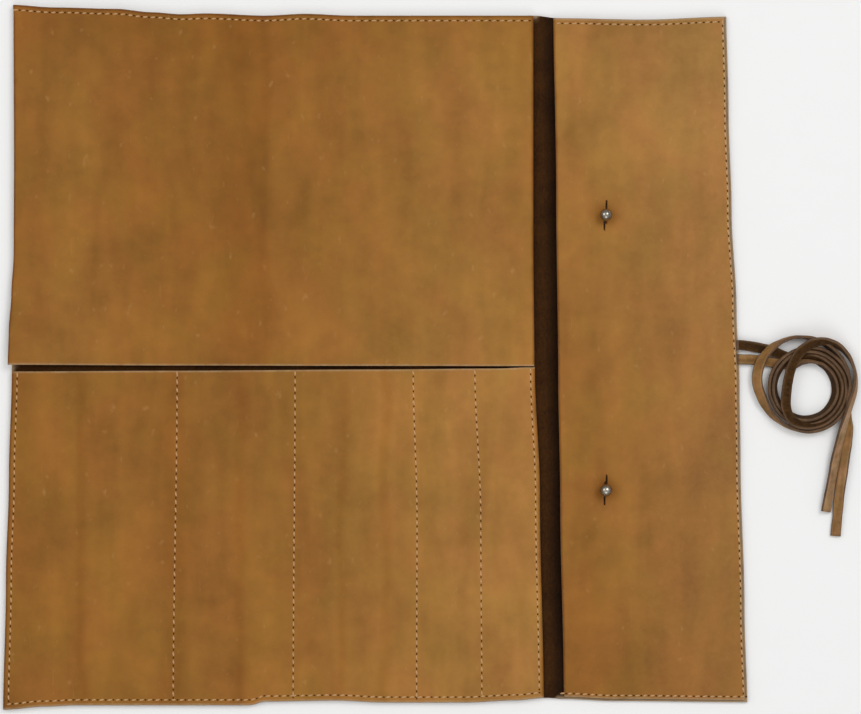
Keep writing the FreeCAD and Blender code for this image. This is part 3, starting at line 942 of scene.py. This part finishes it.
sidePiece = makePiece("side_pocket", sideShape, leatherSides)
cutter = slitCutter()
for face in cutter.data.polygons:
    face.material_index = 2
cutting = sidePiece.modifiers.new("slits", "BOOLEAN")
cutting.operation = "DIFFERENCE"
cutting.solver = "EXACT"
cutting.object = cutter
bpy.context.view_layer.update()
cutMesh = bpy.data.meshes.new_from_object(sidePiece.evaluated_get(bpy.context.evaluated_depsgraph_get()))
sidePiece.modifiers.clear()
sidePiece.data = cutMesh
bpy.data.objects.remove(cutter)
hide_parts("side_pocket_front")
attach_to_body(sidePiece, "right_section")
print("side pocket cut for its studs")


# Ball studs, turned in one piece

studShape = {
    "ball": 3.1 * mm,
    "neck": 1.7 * mm,
    "flangeThick": 1 * mm,
    "round": 0.2 * mm,
    "fillet": 0.4 * mm,
    "steps": 48,
    "arc": 14,
    "crease": 35,
}


def makeStud(name, node):
    low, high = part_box(node)
    middle = (low + high) / 2
    flange = (high.x - low.x) / 2
    ball, neck, thick = studShape["ball"], studShape["neck"], studShape["flangeThick"]
    soft, fillet = studShape["round"], studShape["fillet"]
    centre = high.z - ball
    start = -math.pi / 2 + math.asin(neck / ball)
    profile = [(0, 0), (flange - soft, 0), (flange, soft), (flange, thick - soft),
               (flange - soft, thick), (neck + fillet, thick), (neck, thick + fillet)]
    profile = [(x, low.z + z) for x, z in profile]
    for step in range(studShape["arc"] + 1):
        angle = start + (math.pi / 2 - start) * step / studShape["arc"]
        profile.append((ball * math.cos(angle), centre + ball * math.sin(angle)))
    shape = bmesh.new()
    verts = [shape.verts.new((middle.x + max(x, 0), middle.y, z)) for x, z in profile]
    verts[0].co.x = verts[-1].co.x = middle.x
    for before, after in zip(verts, verts[1:]):
        shape.edges.new((before, after))
    bmesh.ops.spin(shape, geom=shape.verts[:] + shape.edges[:], cent=(middle.x, middle.y, 0), axis=(0, 0, 1),
                   angle=2 * math.pi, steps=studShape["steps"], use_merge=True)
    bmesh.ops.remove_doubles(shape, verts=shape.verts[:], dist=0.005 * mm)
    bmesh.ops.recalc_face_normals(shape, faces=shape.faces[:])
    for face in shape.faces:
        face.smooth = True
    for line in shape.edges:
        if line.is_manifold and line.calc_face_angle(0) > math.radians(studShape["crease"]):
            line.smooth = False
    piece = makePiece(name, shape, [nickel])
    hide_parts(node)
    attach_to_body(piece, "right_section")


makeStud("ball_stud_upper", "stud_upper")
makeStud("ball_stud_lower", "stud_lower")
print("studs turned")


# Hand-spaced running stitches: a thread bead for each stitch and, between two, a dark bead of painted shade
# for the hole

# hole is half its length, width and height; lean is how far each stitch turns off its seam
stitches = {
    "pitch": 3.75 * mm,
    "length": 2.5 * mm,
    "wide": 0.48 * mm,
    "high": 0.32 * mm,
    "sink": 0.04 * mm,
    "hole": (0.60 * mm, 0.46 * mm, 0.12 * mm),
    "lean": 0.16,
    "turn": 0.2,
    "uneven": 0.16,
    "walk": 0.25 * mm,
    "endGap": 1.5 * mm,
    "sideGap": 2 * mm,
    "rings": 4,
    "around": 8,
}


def seamRun(start, end, at):
    # spots one stitch apart along a seam, the first one at its start
    # at gives x and y for a place between start and end
    spots = []
    last = Vector(at(start))
    reach = stitches["pitch"]
    count = max(round(abs(end - start) / stitches["walk"]), 1)
    for step in range(1, count + 1):
        now = Vector(at(start + (end - start) * step / count))
        reach += (now - last).length
        if reach >= stitches["pitch"]:
            spots.append((now, (now - last).normalized()))
            reach = 0.0
        last = now
    return spots


def addBead(shape, layer, matrix):
    made = bmesh.ops.create_uvsphere(shape, u_segments=stitches["around"], v_segments=stitches["rings"],
                                     radius=1)["verts"]
    faces = {face for vert in made for face in vert.link_faces}
    for face in faces:
        face.smooth = True
        for loop in face.loops:
            loop[layer].uv = loop.vert.co.x, loop.vert.co.y + loop.vert.co.z
    bmesh.ops.transform(shape, verts=made, matrix=matrix)


def beadMatrix(spot, heading, height, size):
    # size is half the bead's length, width and height
    ahead = Vector((*heading, 0))
    side = Vector((-heading[1], heading[0], 0))
    columns = (ahead * size[0], side * size[1], Vector((0, 0, size[2])))
    matrix = Matrix.Identity(4)
    for column, vector in enumerate(columns):
        for row in range(3):
            matrix[row][column] = vector[row]
    matrix.translation = Vector((*spot, height))
    return matrix


def stitchShapes(runs, upper, down=False):
    beads, holes = bmesh.new(), bmesh.new()
    beadLayer, holeLayer = beads.loops.layers.uv.new("flat"), holes.loops.layers.uv.new("flat")
    sign = -1 if down else 1
    number = 0
    for run in runs:
        for spot, heading in run:
            number += 1
            turn = stitches["lean"] + stitches["turn"] * ripple(number * 7.3, 0, 1, 2.5)
            swung = (heading[0] - heading[1] * turn, heading[1] + heading[0] * turn)
            stretch = 1 + stitches["uneven"] * ripple(number * 3.1, 1, 1, 5.5)
            half = (stitches["length"] / 2 * stretch, stitches["wide"], stitches["high"])
            top = upper(*spot) - sign * stitches["sink"]
            addBead(beads, beadLayer, beadMatrix(spot, swung, top, half))
            between = spot + heading * stitches["pitch"] / 2
            # painted shade: a dark bead on the surface stands for the shadow in the needle hole
            addBead(holes, holeLayer, beadMatrix(between, heading, upper(*between), stitches["hole"]))
    return beads, holes


def stitchPieces(name, runs, upper, nodes, attach, down=False):
    beads, holes = stitchShapes(runs, upper, down)
    stitched = makePiece(f"stitches_{name}", beads, [waxedThread])
    pricked = makePiece(f"holes_{name}", holes, [needleHoleShade])
    if nodes:
        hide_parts(*nodes)
    for piece in (stitched, pricked):
        attach(piece)


def upAndDown(line, start, end):
    return seamRun(start, end, lambda y: (line(y), y))


def leftToRight(line, start, end):
    return seamRun(start, end, lambda x: (x, line(x)))


def fromMouth(line, place):
    return upAndDown(line, mouthEdge(place) - stitches["endGap"], bottomSeam(place))


outerRuns = [fromMouth(leftSeam, caseLeft), fromMouth(dividers[0], dividerLines[0]),
             leftToRight(bottomSeam, leftSeam(caseBottom), splitX)]
innerRuns = [fromMouth(*seam) for seam in zip(dividers[1:], dividerLines[1:])]
innerRuns += [fromMouth(pocketsRightSeam, pocketsRight),
              leftToRight(bottomSeam, splitX, pocketsRightSeam(caseBottom))]
sideRuns = [upAndDown(rightSeam, topSeam(caseRight), bottomSeam(caseRight)),
            leftToRight(topSeam, sideLeft, rightSeam(caseTop)),
            leftToRight(bottomSeam, sideLeft + stitches["sideGap"], rightSeam(caseBottom))]
topRun = leftToRight(topSeam, flapLeftEdge(caseTop) + stitches["endGap"], flapRight - stitches["endGap"])
outerSpots = [[(spot, way) for spot, way in topRun if spot.x <= splitX]]
innerSpots = [[(spot, way) for spot, way in topRun if spot.x > splitX]]


def bentLeft(piece):
    bendAt(piece)


def bentMain(piece):
    bendAt(piece)


def onRight(piece):
    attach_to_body(piece, "right_section")


stitchPieces("outer", outerRuns, pocketTop, ["thread_pockets_left", "thread_divider_1"], bentLeft)
stitchPieces("inner", innerRuns, pocketTop,
             ["thread_divider_2", "thread_divider_3", "thread_divider_4", "thread_pockets_middle",
              "thread_pockets_right"], bentMain)
stitchPieces("side", sideRuns, sideTop, ["thread_side_pocket"], onRight)
stitchPieces("back_outer", outerRuns + outerSpots, backUnder, [], bentLeft, True)
stitchPieces("back_inner", innerRuns + innerSpots, backUnder, [], bentMain, True)
stitchPieces("back_side", sideRuns, backUnder, [], onRight, True)
for number, leaf in enumerate(("left", "middle", "right")):
    spots = [(spot, way) for spot, way in topRun if leafCuts[number] < spot.x <= leafCuts[number + 1]]
    stitchPieces(f"flap_{leaf}", [spots], flapTop, [f"thread_flap_{leaf}"],
                 lambda piece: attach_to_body(piece, f"{leaf}_section"))
print("seams stitched")


# Parts kept as they are in the frame, given their finish

for node, material in (("lace_end_upper", laceSides[2]), ("lace_end_lower", laceSides[2]),
                       ("stud_screw_upper", nickel), ("stud_screw_lower", nickel)):
    kept = frame["nodes"][node]
    kept.data.materials.clear()
    kept.data.materials.append(material)
    if node.startswith("lace"):
        layer = kept.data.uv_layers.get("flat") or kept.data.uv_layers.new(name="flat")
        for loop in kept.data.loops:
            spot = kept.data.vertices[loop.vertex_index].co
            layer.data[loop.index].uv = spot.x / flatUnit, (spot.y + spot.z) / flatUnit


# Floor and light

# world is its strength level with the floor and overhead; lights are (name, place, size, power)
studio = {
    "floor": (0.86, 0.86, 0.855, 1),
    "speck": (0.8471, 0.8471, 0.842175, 1),
    "floorSize": 6,
    "floorBelow": 0.15 * mm,
    "world": (0.12, 0.78),
    "lights": [("key", (0.9, 0.8, 1.9), 1.1, 14), ("fill", (-1.3, 0.5, 1.7), 1.4, 8.4),
               ("low", (0.1, -1.5, 1.5), 1.2, 5.6)],
}


def makeStudio():
    nodes = Nodes("pale floor")
    spot = nodes.add("TexCoord", output=3)
    specks = nodes.noise(spot, 60.0, 3.0)
    shade = nodes.mix(specks, studio["floor"], studio["speck"])
    floorMaterial = nodes.finish(Base_Color=shade, Roughness=nodes.span(specks, 0.3, 0.7, 0.75, 0.85))
    shape = bmesh.new()
    bmesh.ops.create_grid(shape, x_segments=1, y_segments=1, size=studio["floorSize"] / 2)
    bmesh.ops.translate(shape, verts=shape.verts[:], vec=(0, 0, -studio["floorBelow"]))
    makePiece("floor", shape, [floorMaterial])
    for name, place, size, power in studio["lights"]:
        data = bpy.data.lights.new(name, "AREA")
        data.shape = "DISK"
        data.size = size
        data.energy = power
        lamp = addPiece(name, data)
        lamp.location = place
        lamp.rotation_euler = (-Vector(place)).to_track_quat("-Z", "Y").to_euler()
    world = bpy.data.worlds.new("studio")
    world.use_nodes = True
    tree = world.node_tree
    place = tree.nodes.new("ShaderNodeTexCoord")
    parts = tree.nodes.new("ShaderNodeSeparateXYZ")
    rise = tree.nodes.new("ShaderNodeMapRange")
    rise.inputs["From Min"].default_value = 0.0
    rise.inputs["From Max"].default_value = 0.9
    rise.inputs["To Min"].default_value, rise.inputs["To Max"].default_value = studio["world"]
    tree.links.new(place.outputs["Generated"], parts.inputs[0])
    tree.links.new(parts.outputs["Z"], rise.inputs["Value"])
    tree.nodes["Background"].inputs["Color"].default_value = (1, 1, 1, 1)
    tree.links.new(rise.outputs[0], tree.nodes["Background"].inputs["Strength"])
    scene.world = world
    scene.view_settings.view_transform = "Standard"


makeStudio()
print("floor and lights set")
